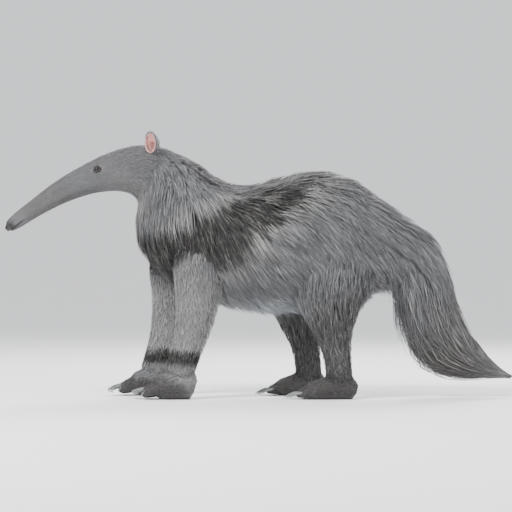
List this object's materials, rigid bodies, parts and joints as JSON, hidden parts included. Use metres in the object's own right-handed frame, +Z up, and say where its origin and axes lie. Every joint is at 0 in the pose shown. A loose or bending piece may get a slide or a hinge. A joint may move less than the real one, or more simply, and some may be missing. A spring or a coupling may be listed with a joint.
{
  "type": "giant anteater model",
  "caption": "Life-size still model of a giant anteater standing on all fours, with a long tapering snout, shaggy mane, curled fore claws and a hanging bushy tail.",
  "frame": {"origin": "on the floor under the middle of the standing animal, nose to tail tip and side to side", "axes": "+X from the nose to the tail, +Y to the animal's right, +Z up; the soles rest on Z = 0"},
  "size_m": [1.4307, 0.3678, 0.7456],
  "materials": {
    "coat": "coarse grizzled grey hair",
    "face": "short smooth hair over thin skin, bare and dark at the nose",
    "ear": "thin skin with fine short hair, pinkish inside",
    "foot": "short dark hair over hard soles",
    "eye": "wet and very dark",
    "claw": "smooth light grey horn"
  },
  "bodies": {
    "root": {"head": "face", "eye_left": "eye", "eye_right": "eye", "ear_left": "ear", "ear_right": "ear", "neck": "coat", "torso": "coat", "tail_base": "coat", "tail_middle": "coat", "tail_end": "coat", "foreleg_left": "coat", "foreleg_right": "coat", "upper_hindleg_left": "coat", "upper_hindleg_right": "coat", "lower_hindleg_left": "coat", "lower_hindleg_right": "coat", "forefoot_left": "foot", "forefoot_right": "foot", "hindfoot_left": "foot", "hindfoot_right": "foot", "foreclaw_left_1": "claw", "foreclaw_left_2": "claw", "foreclaw_left_3": "claw", "foreclaw_left_4": "claw", "foreclaw_right_1": "claw", "foreclaw_right_2": "claw", "foreclaw_right_3": "claw", "foreclaw_right_4": "claw", "hindclaw_left_1": "claw", "hindclaw_left_2": "claw", "hindclaw_left_3": "claw", "hindclaw_left_4": "claw", "hindclaw_left_5": "claw", "hindclaw_right_1": "claw", "hindclaw_right_2": "claw", "hindclaw_right_3": "claw", "hindclaw_right_4": "claw", "hindclaw_right_5": "claw"}
  },
  "joints": []
}
